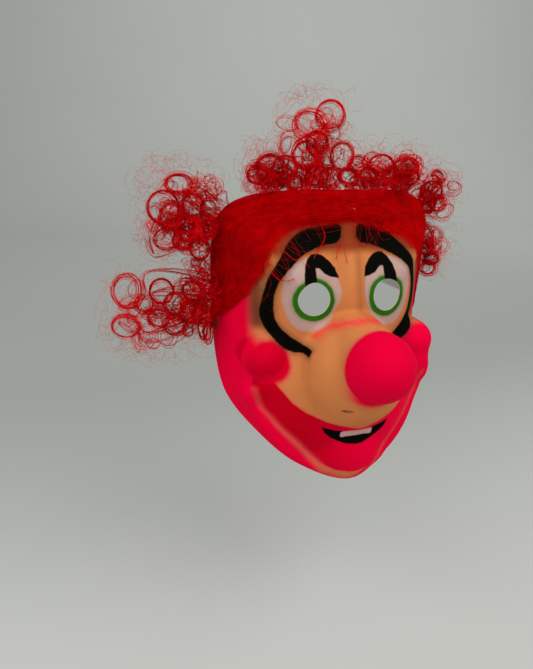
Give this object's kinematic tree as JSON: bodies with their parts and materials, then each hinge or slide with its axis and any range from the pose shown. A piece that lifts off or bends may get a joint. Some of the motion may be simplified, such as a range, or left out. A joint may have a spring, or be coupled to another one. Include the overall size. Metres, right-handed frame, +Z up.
{
  "type": "costume clown mask with hair",
  "caption": "Moulded full-face clown mask with a ball nose and open eyes, curly hair sewn along the forehead and temples, and an elastic head strap.",
  "frame": {"origin": "midway between the two temple staples, where the mask is held on the wearer's head", "axes": "+X to the wearer's left, +Y to the back of the head (the face looks along -Y), +Z up"},
  "size_m": [0.2787, 0.2809, 0.2709],
  "materials": {
    "painted_plastic": "thin moulded sheet, sprayed in matt pink, peach, black, white and green",
    "weft_tape": "woven tape under the hair",
    "thread": "sewing thread",
    "combed_hair": "synthetic hair combed flat",
    "curly_hair": "loose synthetic ringlets",
    "staple_wire": "galvanised wire",
    "elastic": "flat woven elastic"
  },
  "bodies": {
    "mask": {"mask_shell": "painted_plastic", "weft_band": "weft_tape", "weft_thread": "thread", "forehead_hair": "combed_hair", "right_temple_hair": "combed_hair", "left_temple_hair": "combed_hair", "crown_staple": "staple_wire", "right_staple": "staple_wire", "left_staple": "staple_wire", "right_strap_end": "elastic", "left_strap_end": "elastic"},
    "crown_hair": {"crown_right_curls": "curly_hair", "crown_top_curls": "curly_hair", "crown_left_curls": "curly_hair"},
    "right_side_hair": {"right_upper_curls": "curly_hair", "right_lower_curls": "curly_hair", "right_side_lock": "curly_hair"},
    "left_side_hair": {"left_upper_curls": "curly_hair", "left_lower_curls": "curly_hair"},
    "strap": {"strap_loop": "elastic"}
  },
  "joints": [
    {"name": "strap_swing", "type": "hinge", "parent": "mask", "child": "strap", "pos_m": [0, 0.00865, 0], "axis": [1, 0, 0], "range_deg": [-90, 60]},
    {"name": "crown_sway", "type": "hinge", "parent": "mask", "child": "crown_hair", "pos_m": [0, -0.033, 0.088], "axis": [1, 0, 0], "range_deg": [-12, 12], "stiffness_Nm_per_rad": 0.12},
    {"name": "right_hair_sway", "type": "hinge", "parent": "mask", "child": "right_side_hair", "pos_m": [-0.09, 0.002, 0.012], "axis": [0, 0, 1], "range_deg": [-12, 12], "stiffness_Nm_per_rad": 0.12},
    {"name": "left_hair_sway", "type": "hinge", "parent": "mask", "child": "left_side_hair", "pos_m": [0.09, 0.002, 0.012], "axis": [0, 0, 1], "range_deg": [-12, 12], "stiffness_Nm_per_rad": 0.12}
  ]
}
